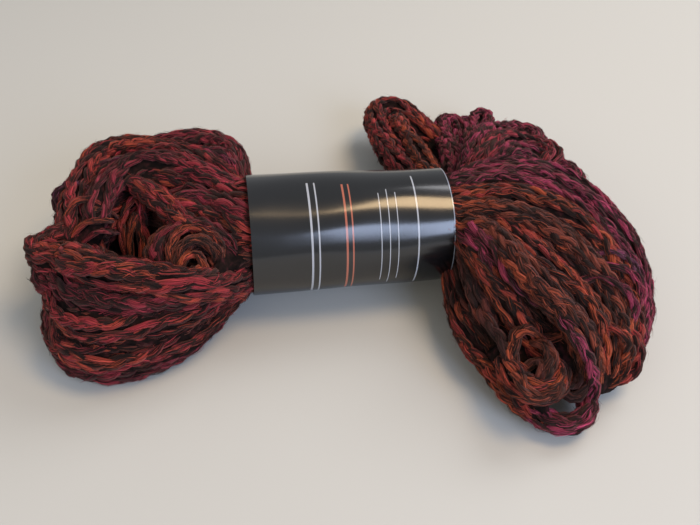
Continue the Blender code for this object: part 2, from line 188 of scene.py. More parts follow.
# %% The ropes of the fan
# Millimetres and degrees from the waist. It leaves the band "across" and "up" from the axis with
# "heading" and ends at "tip_x", "tip_y" with "tip_heading", bowing as "full" says. It rises to
# "crest" at "crest_at" of its run, comes down to "tip_up", turns on by "hook" and runs "back".
FAN_COLUMNS = (
    "name", "across", "up", "heading", "tip_x", "tip_y", "tip_heading", "full", "crest",
    "crest_at", "tip_up", "thick", "hook", "hook_radius", "back", "shade",
)
FAN_ROPES = (
    ("ear", 8, -6, 108, 27, 92.5, 82, 0.36, 19, 0.5, 16, 12, -150, 6.5, 34, "crimson"),
    ("ear_inner", 7, -3, 92, 34, 88, 92, 0.38, 23, 0.5, 19, 10, 0, 1, 0, "ember"),
    ("knob_long", 9, -3, 70, 55, 82, 84, 0.40, 22, 0.5, 14, 10, -190, 5, 24, "magenta"),
    ("knob_small", 9, -3, 57, 74, 93, 66, 0.40, 20, 0.5, 12, 7, -190, 3.5, 24, "magenta"),
    ("arch", 9, 0, 50, 82, 64, 22, 0.40, 33, 0.5, 22, 11, -165, 7, 22, "magenta"),
    ("arch_inner", 9, 3, 40, 87, 48, -8, 0.42, 34, 0.5, 25, 11, -140, 7, 14, "wine"),
    ("arch_outer", 9, 1, 36, 95, 36, -25, 0.45, 31, 0.5, 21, 12, -130, 7, 10, "magenta"),
    ("rim_low", 7, -8, 30, 94, -46, -118, 0.64, 14, 0.5, 7, 13, -45, 8, 0, "wine"),
    ("front_loop", -5, 8, -112, 70, -67, -62, 0.42, 39, 0.33, 7, 8, -190, 10, 12, "magenta"),
    ("curl", -8, 6, -108, 59, -65, -68, 0.40, 35, 0.33, 17, 10, -195, 7.6, 14, "ember"),
    ("front", -10, 2, -95, 47, -52, -60, 0.40, 29, 0.4, 13, 11, 0, 1, 0, "soot"),
    ("under_outer", -12, -9, -122, 55, -79, -52, 0.38, 14, 0.3, 6.5, 10, 0, 1, 0, "ember"),
    ("under_inner", -8, -6, -72, 55, -66, -62, 0.36, 18, 0.3, 8, 12, 0, 1, 0, "soot"),
)
print("ropes of the fan:", len(FAN_ROPES))

# %% The ropes that pass five places
# The ropes that sweep from the band over the crown of the fan, and those of the bun that don't run
# round its hollow: two bridge from its top to the band, one runs from the band to its front tip,
# and two make the small swirl beside the band. Each passes five places, in mm from the waist.
PLACES_COLUMNS = ("name", "first", "second", "third", "fourth", "fifth", "thick", "shade")
SWEPT_ROPES = (
    ("bridge_low", (-79, 21, 40), (-67, 9, 40), (-57, -3, 37), (-47, -12, 35), (-30, -12, 31), 9, "crimson"),
    ("bridge_high", (-72, 20, 41), (-58, 17, 40), (-47, 7, 37), (-41, -6, 36), (-30, -9, 34), 9, "crimson"),
    ("front_run", (-30, -13, 20), (-38, -17, 22), (-51, -30, 32), (-64, -32, 37.5),
     (-82, -28, 40.5), 12, "crimson"),
    ("swirl_wide", (-66, -25, 33), (-65, -13, 36), (-54, -5, 37), (-43, -13, 36), (-38, -22, 32), 7, "wine"),
    ("swirl_small", (-60, -27, 34), (-59, -19, 37), (-53, -13, 38), (-47, -18, 37),
     (-45, -26, 33), 7, "umber"),
    ("rim_outer", (30, 6, 30), (60, 18, 37), (88, 7, 34), (102, -17, 23), (101, -40, 9), 10.5, "magenta"),
    ("rim", (30, 4, 32), (60, 11, 39), (86, -2, 36), (100, -28, 23), (97, -50, 8), 10.5, "magenta"),
    ("rim_inner", (30, 3, 33), (57, 4, 41), (82, -13, 37), (97, -36, 22), (92, -57, 7), 10.5, "magenta"),
    ("crown_outer", (30, -1, 34), (56, -7, 43), (79, -22, 39), (92, -43, 22), (87, -61, 7), 10.5, "ember"),
    ("crown", (30, -4, 34), (52, -16, 43), (73, -31, 38), (86, -50, 21), (82, -65, 7), 10.5, "umber"),
    ("crown_inner", (30, -7, 34), (46, -13, 39), (60, -34, 37), (76, -55, 25), (78, -69, 7), 10.5, "ember"),
    ("valley", (30, -10, 33), (43, -20, 40), (52, -41, 39), (66, -60, 28), (73, -71, 8), 10.5, "umber"),
)
print("ropes that pass five places:", len(SWEPT_ROPES))

# %% [markdown]
# Strands of one yarn or a few lie over the ropes or cross them: the hairpins and thin turns in the
# hollow of the bun, the rings of the swirl, the wrap round the front tip, the turns that stand on
# edge at the left end, and magenta ones over the fan. Dark ones fill the places where a rope ends.
# They could bend with the ropes' own tables, but they don't run with the ropes, so each passes five
# places of its own. A thin one is a yarn that is pulled tight.

# %% The strands that cross over the ropes
LAID_STRANDS = (
    ("inner_1", (-101, -4, 38), (-97, 2, 40), (-92, 6, 42), (-86, 5, 43), (-79, 9, 31), 2.8, "crimson"),
    ("inner_2", (-98, -9, 38), (-93, -5, 40), (-88, -4, 41), (-83, -2, 40), (-79, 7, 29), 2.6, "ember"),
    ("inner_3", (-93, -9, 38), (-88, -7, 39), (-83, -6, 38), (-80, 3, 29), (-77, 8, 21), 2.6, "wine"),
    ("inner_4", (-105, 9, 30), (-104, 15, 34), (-100, 17, 38), (-95, 20, 40), (-87, 17, 38), 4, "plum"),
    ("inner_5", (-95, 0, 41), (-90, 1, 42), (-85, 2, 42), (-81, 8, 33), (-78, 12, 24), 2.6, "umber"),
    ("hairpin", (-80, -8, 20), (-79, 6, 31), (-74, 14, 38), (-71, 6, 31), (-70, -8, 20), 2.8, "crimson"),
    ("hairpin_2", (-77, -9, 22), (-76, 5, 31), (-74, 10, 35), (-73, 5, 31), (-73, -9, 22), 2.6, "ember"),
    # The three shade strands cross the shadowed hollow towards the band, and their soot dye is painted
    # shade.
    ("shade_1", (-83, 12, 28), (-77, 11, 27), (-68, 9, 28), (-60, 0, 34), (-50, -8, 35), 3.4, "soot"),
    ("shade_2", (-71, 14, 29), (-66, 9, 31), (-61, 3, 34), (-56, -3, 36), (-50, -9, 36), 3.4, "soot"),
    ("shade_3", (-74, 3, 23), (-69, 6, 25), (-67, 10, 28), (-66, 13, 32), (-64, 15, 36), 3.4, "soot"),
    ("swirl_1", (-69, -26, 33), (-68, -11, 36), (-54, -1, 38), (-41, -9, 38), (-35, -18, 35), 3, "umber"),
    ("swirl_2", (-64, -28, 36), (-62, -16, 39.5), (-54, -9, 40), (-45, -16, 39),
     (-42, -25, 36), 2.8, "ember"),
    ("swirl_3", (-61, -29, 36), (-59, -20, 40.5), (-53.5, -16.5, 41.5), (-48, -20, 40),
     (-45, -27, 36), 2.8, "umber"),
    ("swirl_4", (-59, -29, 35), (-57, -23, 38.5), (-53.5, -20.5, 39.5), (-50, -23, 38.5),
     (-48, -28, 35), 2.8, "ember"),
    ("swirl_5", (-57, -29, 34), (-55.5, -26, 37), (-53.5, -24.5, 38), (-51.5, -26, 37),
     (-50, -29, 34), 3.4, "umber"),
    ("sweep_1", (-65, 19, 44), (-57, 21, 44), (-48, 14, 43), (-40, 2, 41), (-30, -2, 40), 6.5, "crimson"),
    ("sweep_2", (-64, 11, 42), (-56, 9, 42), (-47, 3, 42), (-40, -5, 40), (-30, -7, 38), 6.5, "wine"),
    ("sweep_3", (-56, 22, 44), (-48, 19, 43), (-42, 11, 42), (-37, 4, 41), (-30, 3, 41), 6.5, "crimson"),
    ("sweep_4", (-66, 9, 42), (-61, 6, 41), (-55, 3, 39), (-48, -2, 39), (-38, -10, 38), 6.5, "crimson"),
    ("lobe_1", (-58, 33, 44), (-51, 31, 44), (-45, 31, 41), (-40, 28, 40), (-34, 20, 38), 4, "magenta"),
    ("lobe_2", (-53, 40, 40), (-47, 38, 40), (-42, 34, 39), (-38, 28, 39), (-34, 16, 38), 4, "wine"),
    ("tip_wrap", (-88, -25, 43), (-98, -20, 40), (-107, -12, 36), (-107, -5, 37),
     (-99, -4, 39), 4, "crimson"),
    ("dip", (-98, -24, 33), (-87, -31, 34), (-75, -35, 33), (-62, -35.5, 32), (-46, -27, 25), 7, "wine"),
    ("front_join", (-60, -32, 36.5), (-71, -31.5, 39.5), (-82, -29, 41), (-92, -22, 40.5),
     (-100, -12, 37), 12, "crimson"),
    ("mouth_fill", (-60, -22, 27), (-52, -20.5, 29), (-45, -19.5, 30.5), (-38, -18, 31.5),
     (-30, -12, 30), 7, "soot"),
    ("plum_arch", (-92, 29, 33), (-84, 29.5, 39), (-75, 27, 43), (-66, 26, 44), (-56, 21, 43.5), 6, "plum"),
    ("gap_1", (-83, 22, 36), (-76, 24, 39), (-69, 24, 40), (-62, 22, 40), (-54, 17, 40), 5, "soot"),
    ("gap_2", (-48, -17, 32), (-43, -18, 33.5), (-39, -18.5, 33.5), (-35, -17, 32),
     (-30, -13, 30), 4, "umber"),
    ("edge_1", (-99, -22, 27), (-102, -28, 20), (-102, -33, 14), (-100, -36, 9), (-95, -38, 5), 4, "wine"),
    ("edge_2", (-96, -27, 27), (-100, -32, 20), (-99, -36, 14), (-96, -39, 9), (-91, -40, 5), 4, "crimson"),
    ("patch_1", (78, -33, 40), (86, -33, 38), (93, -33, 33), (97, -37, 28), (98, -44, 22), 3.4, "plum"),
    ("patch_2", (78, -40, 39), (84, -38, 37), (91, -39, 32), (95, -44, 27), (95, -51, 20), 3.4, "magenta"),
    ("patch_3", (72, -42, 37), (80, -44, 36), (86, -46, 31), (91, -50, 26), (90, -57, 18), 3.4, "magenta"),
    ("mag_1", (36, -12, 40), (42, -27, 42.5), (47, -41, 36.5), (54, -47, 32), (60, -57, 31), 4, "magenta"),
    ("mag_2", (54, -53, 34), (61, -62, 31), (66, -68, 26.5), (70, -73, 18), (68, -77, 10), 4, "magenta"),
    ("turn_1", (72, -58, 32), (80, -61, 29), (84, -64, 21), (81, -68, 12), (74, -70, 8), 4, "ember"),
    ("turn_2", (84, -52, 29), (89, -58, 21), (90, -62, 13), (85, -66, 8), (78, -68, 7), 4, "crimson"),
    ("curl_1", (60, -68, 24), (56, -77, 20), (48, -78, 19), (44, -70, 22), (45, -60, 23), 4, "umber"),
    ("curl_2", (44, -70, 22), (45, -60, 23), (48, -55, 25), (54, -56, 26), (59, -62, 26), 4, "umber"),
    ("curl_3", (48, -59, 23), (53, -59, 26), (56, -65, 24), (53, -71, 22), (47, -70, 21), 4, "umber"),
    ("curl_4", (49, -66, 23), (52, -63, 24), (54, -67, 23.5), (51, -70, 22), (48, -74, 20), 3.4, "soot"),
    ("dark_1", (35, -36, 25), (40, -46, 23), (42, -54, 22), (44, -63, 22), (45, -71, 20), 4, "soot"),
)
print("strands across the ropes:", len(LAID_STRANDS))

# %% The turns between two ropes
# Between two neighbouring ropes more turns lie a little deeper, in a darker dye that is painted shade.
FILL_THICK = 7.0
FILL_DOWN = 1.5
NEIGHBOURS = (
    ("foot", "low"), ("low", "middle"), ("middle", "front_high"), ("front_high", "second_tip"),
    ("top_arch", "back_lobe"), ("top_arch", "top_inner"), ("back_high", "middle"),
    ("arch", "arch_inner"), ("arch_inner", "arch_outer"), ("arch_outer", "rim_outer"),
    ("rim_low", "rim_outer"), ("rim_outer", "rim"), ("rim", "rim_inner"),
    ("rim_inner", "crown_outer"), ("crown_outer", "crown"), ("crown", "crown_inner"),
    ("crown_inner", "valley"), ("valley", "front_loop"), ("under_outer", "under_inner"),
    ("under_outer", "front"), ("knob_long", "knob_small"), ("arch", "knob_small"),
)
print("pairs of neighbours:", len(NEIGHBOURS))

# %% [markdown]
# ## From a row of a table to a line in space
#
# A rope of the bun reads its distance and height at four stations round the hollow. A rope of the
# fan is a Bezier curve in plan, with a separate rise and fall. Both run on into the band. A strand
# that crosses over them is a smooth curve through its five places. Blender's own curve objects could
# do this, but the yarns need the direction at every point, so the lines are kept as plain arrays.

# %% Sizes of the yarn
# Millimetres. Points stand one step apart along every line.
YARN_WIDE = 4.8
YARN_HALF_DEEP = 1.5
PLIES = 3
STEP = 1.75
UP = np.array((0.0, 0.0, 1.0))
print("yarn:", YARN_WIDE, "mm wide,", 2 * YARN_HALF_DEEP, "mm deep")


# %% Helpers for lines in space
LEAST_POINTS = 8
SOFTENING_PASSES = 3


def unit(vectors):
    """The same directions, each of length 1."""
    return vectors / np.maximum(np.linalg.norm(vectors, axis=-1, keepdims=True), 1e-9)


def resampled(points):
    """The same line with a point every step, and the length run at each."""
    run = np.concatenate(([0.0], np.cumsum(np.linalg.norm(np.diff(points, axis=0), axis=1))))
    at = np.linspace(0.0, run[-1], max(LEAST_POINTS, int(run[-1] / STEP)))
    return np.stack([np.interp(at, run, points[:, i]) for i in range(3)], axis=1), at


def eased(points):
    """The same line with its corners eased and its ends kept."""
    points = np.array(points, float)
    for _ in range(SOFTENING_PASSES):
        points[1:-1] = (points[:-2] + 2.0 * points[1:-1] + points[2:]) / 4.0
    return points


def smooth_step(share):
    """From 0 to 1 with a soft start and a soft end."""
    share = np.clip(share, 0.0, 1.0)
    return share * share * (3.0 - 2.0 * share)


def through(a, b, c, d, share):
    """A smooth curve from b to c, which knows the places before and after them."""
    return 0.5 * (
        2.0 * b
        + (c - a) * share
        + (2.0 * a - 5.0 * b + 4.0 * c - d) * share**2
        + (3.0 * b - 3.0 * c + d - a) * share**3
    )


# %% The middle line of a rope of the bun
def round_value(front, left, back, mouth, turn):
    """A smooth value round the bun through its four stations."""
    stations = (mouth, front, left, back)
    place = (turn % 1.0) * 4.0
    i = int(place)
    return through(*(stations[(i + k) % 4] for k in (-1, 0, 1, 2)), place - i)


def mouth_place(up, sweep, side):
    """Where a rope of the bun enters the band: the lowest first, then up round the mouth."""
    angle = math.radians(sweep * (up - MOUTH_FIRST))
    return side * MOUTH_RING * math.sin(angle), BAND_HEIGHT / MM - MOUTH_RING * math.cos(angle)


def bun_route(rope, steps=36):
    """The middle line of a rope that runs round the hollow of the bun."""
    front = mouth_place(rope["front_up"], FRONT_SWEEP, -1)
    back = mouth_place(rope["back_up"], BACK_SWEEP, 1)
    points = []
    for k in range(steps + 1):
        turn = rope["start"] + (rope["end"] - rope["start"]) * k / steps
        poke = rope["poke"] * math.exp(-(((turn - rope["poke_at"]) / rope["poke_width"]) ** 2))
        out = poke + round_value(
            rope["front_out"], rope["left_out"], rope["back_out"], MOUTH_LEFT_OUT, turn
        )
        mouth = front if turn < 0.5 else back
        up = round_value(rope["front_up"], rope["left_up"], rope["back_up"], mouth[1], turn)
        angle = -math.tau * turn
        points.append((HOLLOW[0] + out * math.cos(angle), HOLLOW[1] + out * math.sin(angle), up))
    if rope["start"] < MOUTH_TURN:
        points = [(-INSIDE_BAND, *front), (MOUTH_LEFT, *front), *points]
    if rope["end"] > 1.0 - MOUTH_TURN:
        points += [(MOUTH_LEFT, *back), (-INSIDE_BAND, *back)]
    return eased(points)


# %% The middle line of a rope of the fan
# A hook turns by so many degrees at a time, and a rope runs back by so many millimetres at a time.
HOOK_STEP = 15
BACK_STEP = 2


def fan_route(rope, steps=28):
    """The middle line of a rope that bows out from the band and comes down at its tip."""
    height = BAND_HEIGHT / MM
    start = np.array((MOUTH_RIGHT, rope["across"]))
    tip = np.array((rope["tip_x"], rope["tip_y"]), float)
    reach = rope["full"] * np.linalg.norm(tip - start)
    heading, turned = math.radians(rope["heading"]), math.radians(rope["tip_heading"])
    ahead = start + reach * np.array((math.cos(heading), math.sin(heading)))
    behind = tip - reach * np.array((math.cos(turned), math.sin(turned)))
    low = height + rope["up"]
    points = [(INSIDE_BAND, DRAW_IN * rope["across"], height + DRAW_IN * rope["up"])]
    for k in range(steps + 1):
        t = k / steps
        s = 1.0 - t
        plan = s**3 * start + 3 * s * s * t * ahead + 3 * s * t * t * behind + t**3 * tip
        if t < rope["crest_at"]:
            up = low + (rope["crest"] - low) * smooth_step(t / rope["crest_at"])
        else:
            fall = smooth_step((t - rope["crest_at"]) / (1.0 - rope["crest_at"]))
            up = rope["crest"] + (rope["tip_up"] - rope["crest"]) * fall
        points.append((*plan, up))
    stride = rope["hook_radius"] * math.radians(HOOK_STEP)
    for _ in range(int(abs(rope["hook"]) / HOOK_STEP)):
        turned += math.radians(math.copysign(HOOK_STEP, rope["hook"]))
        tip = tip + stride * np.array((math.cos(turned), math.sin(turned)))
        points.append((*tip, rope["tip_up"]))
    for _ in range(int(rope["back"] / BACK_STEP)):
        tip = tip + BACK_STEP * np.array((math.cos(turned), math.sin(turned)))
        points.append((*tip, rope["tip_up"]))
    return eased(points)


# %% The middle line of a rope or strand through five places
def swept_route(row, steps=12):
    """A smooth line through the five places, which runs on at both ends as it came."""
    places = [np.array(row[key], float) for key in ("first", "second", "third", "fourth", "fifth")]
    places = [2 * places[0] - places[1], *places, 2 * places[-1] - places[-2]]
    points = [
        through(*places[i : i + 4], k / steps) for i in range(len(places) - 3) for k in range(steps)
    ]
    return np.array([*points, places[-2]])


def between(one, two, count=60):
    """The line midway between two ropes."""
    shares = np.linspace(0.0, 1.0, count)
    halves = []
    for rope in (one, two):
        points, along = resampled(rope["route"])
        at = shares * along[-1]
        halves.append(np.stack([np.interp(at, along, points[:, i]) for i in range(3)], axis=1))
    return (halves[0] + halves[1]) / 2.0


# %% Work out every route
# A line that ends nearer the band's middle than this is held by the band. Any other end is free.
HELD_END = INSIDE_BAND + 2.0
ropes = {}
for columns, rows, route in (
    (BUN_COLUMNS, BUN_ROPES, bun_route),
    (FAN_COLUMNS, FAN_ROPES, fan_route),
    (PLACES_COLUMNS, SWEPT_ROPES, swept_route),
    (PLACES_COLUMNS, LAID_STRANDS, swept_route),
):
    for row in rows:
        rope = dict(zip(columns, row))
        rope["route"] = route(rope)
        ropes[rope["name"]] = rope
for one, two in NEIGHBOURS:
    # The filler turns take soot, or plum beside magenta: painted shade for the shadowed valleys between
    # ropes.
    painted_shade_dye = "plum" if ropes[one]["shade"] == "magenta" else "soot"
    rope = dict(ropes[one], name=one + "_" + two, thick=FILL_THICK, shade=painted_shade_dye)
    rope["route"] = between(ropes[one], ropes[two])
    rope["route"][:, 2] -= FILL_DOWN
    ropes[rope["name"]] = rope
for rope in ropes.values():
    rope["free_start"], rope["free_end"] = (abs(rope["route"][i][0]) > HELD_END for i in (0, -1))
print("ropes and strands:", len(ropes))

# %% [markdown]
# ## The dye
#
# Each yarn is a chain of three plies. One keeps a bright shade, one a dark brown that looks black
# from a step away, and the third goes from one to the other, so that the yarn shows long slanting
# streaks. The bright shade drifts slowly along each yarn. A picture painted on the hank could not
# follow the plies so closely, so each point of a ply keeps the bright shade, and in its alpha how
# much of the wool there has taken it.

# %% The palette and its drift
SHADES = {
    "crimson": "#B23A44",
    "wine": "#963646",
    "ember": "#BE5838",
    "umber": "#8A4638",
    "magenta": "#B44468",
    "plum": "#74405E",
    "soot": "#4E2A28",
}
DRIFTS_TO = {
    "crimson": "ember", "wine": "crimson", "ember": "crimson", "umber": "ember",
    "magenta": "wine", "plum": "magenta", "soot": "umber",
}
UNDYED = ("#0E0A0A", "#19110F", "#2C211C")
# How far the shade has drifted: its middle, its swing, and the length of its wave in millimetres.
DRIFT_MIDDLE, DRIFT_SWING, DRIFT_WAVE = 0.25, 0.6, 80.0
# For each ply: the middle of its dyed share, and how far that goes up and down along SHARE_WAVE.
PLY_SHARES = ((0.52, 0.52), (0.04, 0.30), (0.26, 0.58))
SHARE_WAVE = 58.0
# Two waves make the wandering: each has its share of the length and of the height.
WANDER_WAVES = ((1.0, 0.6), (0.43, 0.4))


def wander(along, wave, rng):
    """A slow wandering value between about -1 and 1 along a line."""
    total = np.zeros_like(along)
    for shorter, share in WANDER_WAVES:
        total += share * np.sin(math.tau * along / (wave * shorter) + rng.uniform(0, math.tau))
    return total


def ply_dye(shade, ply, along, rng):
    """The bright shade at each point of a ply, and the share of its wool that has taken it."""
    drift = np.clip(DRIFT_MIDDLE + DRIFT_SWING * wander(along, DRIFT_WAVE, rng), 0.0, 1.0)[:, None]
    colour = linear(SHADES[shade]) * (1.0 - drift) + linear(SHADES[DRIFTS_TO[shade]]) * drift
    middle, swing = PLY_SHARES[ply]
    share = np.clip(middle + swing * wander(along, SHARE_WAVE, rng), 0.0, 1.0)
    return np.concatenate([colour, share[:, None]], axis=1)


print("shades:", ", ".join(SHADES))

# %% [markdown]
# ## The chain yarn
#
# The yarn is about 4.6 mm thick. Its three plies cross over each other in turn, as in a plait, and
# every crossing shows as one leaf-shaped streak. Each rope gets as many yarns round it as fit side
# by side. A yarn wanders a little, keeps off the surface that the hank lies on, and keeps clear of
# the paper band, which it can only enter through its mouth. What would lie deep inside the hank
# isn't made at all. Thousands of short tubes are too many to add by hand, so they are worked out as
# arrays and joined into a few meshes. A simulation of the winding wouldn't end in this very form.

# %% How deep a point lies in the hank
MERGED = 0.02 * MM
# A yarn deeper than this isn't made, and a free end is drawn in to the second depth.
BURIED = 4.2
SUNK_TO = 6.0
LEAST_TUCK = 0.01
# A stretch that shows is kept with this many points round it, if it has enough of them.
SHOWN_MARGIN = 5
SHOWN_LEAST = 6


def merged_copy(mesh):
    """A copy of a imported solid's loose triangles, joined where their corners meet."""
    made = bmesh.new()
    made.from_mesh(mesh)
    bmesh.ops.remove_doubles(made, verts=made.verts, dist=MERGED)
    return made


shape = merged_copy(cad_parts["hank"].data)
hull = BVHTree.FromBMesh(shape)
print("hank's solid:", len(shape.verts), "corners,", len(shape.faces), "faces")
shape.free()


def depth_of(point):
    """How deep a point lies in the hank, in millimetres, and the direction outwards."""
    place = Vector(point) * MM + WAIST
    nearest, normal, _, _ = hull.find_nearest(place)
    return (nearest - place).dot(normal) / MM, np.array(normal)


def sunk(line, tuck):
    """Draws the free ends of a yarn into the hank, so that none shows cut off."""
    for k in np.flatnonzero(tuck > LEAST_TUCK):
        depth, outwards = depth_of(line[k])
        line[k] -= outwards * max(0.0, SUNK_TO * tuck[k] - depth)
    line[:, 2] = np.maximum(line[:, 2], YARN_HALF_DEEP)
    return line


def shown_runs(line):
    """The stretches of a yarn that aren't buried in the hank, as pairs of places along it."""
    depths = np.array([depth_of(point)[0] for point in line])
    shown = np.convolve(depths < BURIED, np.ones(SHOWN_MARGIN), "same") > 0
    ends = np.flatnonzero(np.diff(np.concatenate(([0], shown.astype(int), [0]))))
    return [(a, b) for a, b in zip(ends[::2], ends[1::2]) if b - a >= SHOWN_LEAST]


# %% Keeping yarns clear of the band
# Near the band the yarns spread out to fill its mouth, more at the left end. The mouth has this
# radius, the band ends this far from its middle, and the spreading fades over the third length.
MOUTH_INNER = 19.4
MOUTH_EDGE = 35.4
MOUTH_FADE = 12.0
MOUTH_SWELL = {"left": 0.45, "right": 0.2}
# A yarn this much further out than the mouth passes outside the band, and isn't held.
HELD_WITHIN = 9.0


def clear_of_band(points):
    """Spreads a yarn out to fill the mouth of the band, keeps it inside, and off the surface."""
    height = BAND_HEIGHT / MM
    axial = np.abs(points[:, 0])
    most = MOUTH_INNER - YARN_HALF_DEEP
    swell = np.where(points[:, 0] < 0, MOUTH_SWELL["left"], MOUTH_SWELL["right"])
    grow = 1.0 + swell * (1.0 - smooth_step((axial - MOUTH_EDGE) / MOUTH_FADE))
    across, up = points[:, 1], points[:, 2] - height
    radial = np.maximum(np.hypot(across, up), 1e-6)
    spread = np.where(radial < most, np.minimum(radial * grow, most), radial)
    held = (axial < MOUTH_EDGE + YARN_HALF_DEEP) & (radial < most + HELD_WITHIN)
    spread = np.where(held, np.minimum(spread, most), spread)
    points[:, 1] = across * spread / radial
    points[:, 2] = np.maximum(height + up * spread / radial, YARN_HALF_DEEP)
    return points


# %% Laying yarns along a rope
# Neighbouring yarns press into each other, so that each takes this share of its width.
OVERLAP = 0.82
# The yarns turn slowly round their rope, by so much for each millimetre, and sway as they go. All
# swings below are in turns or millimetres, and all waves in millimetres.
ROPE_TWIST = math.tau / 420.0
SWAY, SWAY_ALONE, SWAY_WAVE = 0.35, 0.2, 90.0
WANDER_WIDE, WANDER_DEEP, WANDER_WAVE = 0.9, 0.45, 38.0
# A free end is tucked in over this length, or over this share of a short strand, and its yarns come
# together by the last share.
TUCK_LENGTH = 11.0
TUCK_SHARE = 0.3
TUCK_TOGETHER = 0.5


def yarns_of(rope, rng):
    """The middle line, the outward direction and the length run of each yarn of a rope."""
    line, along = resampled(rope["route"])
    line = eased(line)
    ahead = unit(np.gradient(line, axis=0))
    side = unit(np.cross(ahead, UP))
    over = np.cross(side, ahead)
    ring = max(0.0, rope["thick"] / 2.0 - YARN_HALF_DEEP)
    count = max(1, round(math.tau * ring / (YARN_WIDE * OVERLAP)))
    tuck = np.zeros_like(along)
    tucked = min(TUCK_LENGTH, TUCK_SHARE * along[-1])
    if rope["free_start"]:
        tuck = np.maximum(tuck, 1.0 - smooth_step(along / tucked))
    if rope["free_end"]:
        tuck = np.maximum(tuck, 1.0 - smooth_step((along[-1] - along) / tucked))
    phase = rng.uniform(0, math.tau)
    made = []
    for k in range(count):
        turn = phase + math.tau * k / count + ROPE_TWIST * along
        turn = turn + SWAY * wander(along, SWAY_WAVE, rng)
        if count == 1:
            turn = math.pi / 2.0 + SWAY_ALONE * wander(along, SWAY_WAVE, rng)
        reach = ring * (1.0 - TUCK_TOGETHER * tuck) + WANDER_DEEP * wander(along, WANDER_WAVE, rng)
        outward = np.cos(turn)[:, None] * side + np.sin(turn)[:, None] * over
        aside = WANDER_WIDE * wander(along, WANDER_WAVE, rng)[:, None] * np.cross(ahead, outward)
        yarn = clear_of_band(line + reach[:, None] * outward + aside)
        made.append((eased(sunk(yarn, tuck)), outward, along))
    return made


# %% Plaiting three plies into a yarn
# A ply goes this far from side to side and in and out, over one pitch that differs from yarn to yarn.
PLAIT_WIDE = 1.25
PLAIT_DEEP = 0.45
PLAIT_PITCH = 17.0
PITCH_SPREAD = (0.85, 1.2)
PLAIT_SWAY, PLAIT_WAVE = 0.4, 60.0
# A ply's radius swells where it lies on top, and a little by chance.
PLY_RADIUS = 1.1
PLY_LEAST, PLY_SWELL, PLY_CHANCE, PLY_WAVE = 0.9, 0.18, 0.1, 21.0


def plies_of(line, outward, along, full, rng):
    """The plies of a yarn, "full" being its share of the usual thickness, and its directions."""
    ahead = unit(np.gradient(line, axis=0))
    outward = unit(outward - (outward * ahead).sum(1, keepdims=True) * ahead)
    side = np.cross(ahead, outward)
    phase = rng.uniform(0, math.tau)
    pitch = PLAIT_PITCH * rng.uniform(*PITCH_SPREAD)
    made = []
    for ply in range(PLIES):
        turn = math.tau * along / pitch + math.tau * ply / PLIES + phase
        turn = turn + PLAIT_SWAY * wander(along, PLAIT_WAVE, rng)
        deep = np.sin(2.0 * turn)
        middle = line + (full * PLAIT_WIDE * np.sin(turn))[:, None] * side
        middle = middle + (full * PLAIT_DEEP * deep)[:, None] * outward
        swell = PLY_LEAST + PLY_SWELL * np.maximum(deep, 0.0)
        made.append((middle, full * PLY_RADIUS * (swell + PLY_CHANCE * wander(along, PLY_WAVE, rng))))
    return made, outward, side


# %% A mesh of many tubes or ribbons
class Strands:
    """Gathers tubes or ribbons, all with the same number of points across, into one mesh."""

    def __init__(self, across, closed):
        self.across, self.closed = across, closed
        self.points, self.dyes, self.faces, self.uvs, self.count = [], [], [], [], 0

    def add(self, rings, along, dye):
        """rings is (strands, points along, points across, 3), and dye (strands, points along, 4)."""
        strands, n, m = rings.shape[:3]
        around = m if self.closed else m - 1
        first = self.count + np.arange(strands)[:, None, None] * n * m
        i, k = np.arange(n - 1)[None, :, None], np.arange(around)[None, None, :]
        after = (k + 1) % m
        corners = (i * m + k, i * m + after, (i + 1) * m + after, (i + 1) * m + k)
        self.faces.append(np.stack([first + corner for corner in corners], -1).reshape(-1, 4))
        shape = (strands, n - 1, around)
        near, far = (np.broadcast_to(value[None, :, None], shape) for value in (along[:-1], along[1:]))
        low, high = (np.broadcast_to(value / around, shape) for value in (k, k + 1))
        self.uvs.append(np.stack([near, low, near, high, far, high, far, low], -1).reshape(-1, 2))
        self.points.append(rings.reshape(-1, 3))
        self.dyes.append(np.repeat(dye.reshape(-1, 4), m, axis=0))
        self.count += strands * n * m

    def build(self, name, finish):
        """Makes the piece, with its map along the fibres and its dye at each point."""
        points = np.concatenate(self.points) * MM + np.array((WAIST.x, WAIST.y, 0.0))
        quads = np.concatenate(self.faces)
        mesh = bpy.data.meshes.new(name)
        mesh.vertices.add(len(points))
        mesh.vertices.foreach_set("co", points.astype(np.float32).ravel())
        mesh.loops.add(quads.size)
        mesh.loops.foreach_set("vertex_index", quads.astype(np.int32).ravel())
        mesh.polygons.add(len(quads))
        mesh.polygons.foreach_set("loop_start", (np.arange(len(quads)) * 4).astype(np.int32))
        mesh.update(calc_edges=True)
        layer = mesh.uv_layers.new(name="fibre")
        layer.data.foreach_set("uv", np.concatenate(self.uvs).astype(np.float32).ravel())
        dye = mesh.color_attributes.new("dye", "FLOAT_COLOR", "POINT")
        dye.data.foreach_set("color", np.concatenate(self.dyes).astype(np.float32).ravel())
        mesh.polygons.foreach_set("use_smooth", np.ones(len(quads), bool))
        mesh.validate()
        mesh.materials.append(finish)
        made = new_object(name, mesh)
        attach(made, "root")
        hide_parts("hank")
        print(name, 2 * len(quads), "triangles")
        return made


# %% A ply as a tube
# A ply is a tube of few sides, flatter than wide, and comes to a point at its ends. Where the hank
# lies on a surface, it is pressed flat this far above it.
PLY_SIDES = 5
PLY_FLAT = 0.82
POINTED = 0.05
PRESSED_FLAT = 0.05


